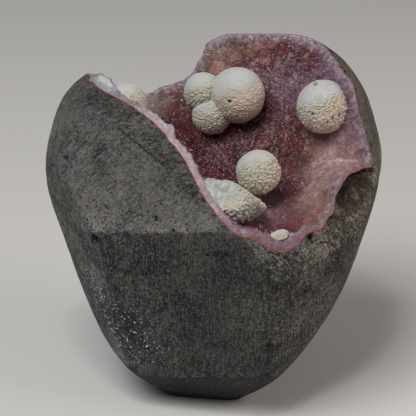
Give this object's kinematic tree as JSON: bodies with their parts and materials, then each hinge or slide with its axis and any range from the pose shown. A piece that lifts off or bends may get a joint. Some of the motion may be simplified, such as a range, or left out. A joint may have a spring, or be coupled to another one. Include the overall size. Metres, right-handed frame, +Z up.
{
  "type": "okenite specimen",
  "caption": "Mineral specimen: a ground basalt block with an open vug, lined with druzy chalcedony that carries fibrous okenite balls.",
  "frame": {"origin": "middle of the foot: a point on the flat ground face that the block stands on", "axes": "+Z up, -Y towards the front, where the rim of the vug dips lowest, +X to the right seen from the front"},
  "size_m": [0.1004, 0.0858, 0.0997],
  "materials": {
    "basalt": "ground, matt, finely pitted",
    "chalcedony": "druzy, waxy, with fine sparkle",
    "okenite": "fibrous, matt"
  },
  "bodies": {
    "root": {"basalt_matrix": "basalt", "chalcedony_crust": "chalcedony", "okenite_cluster_upper": "okenite", "okenite_ball_right": "okenite", "okenite_cluster_lower": "okenite", "okenite_ball_left": "okenite", "okenite_patch_horn": "okenite", "okenite_patch_front": "okenite"}
  },
  "joints": []
}
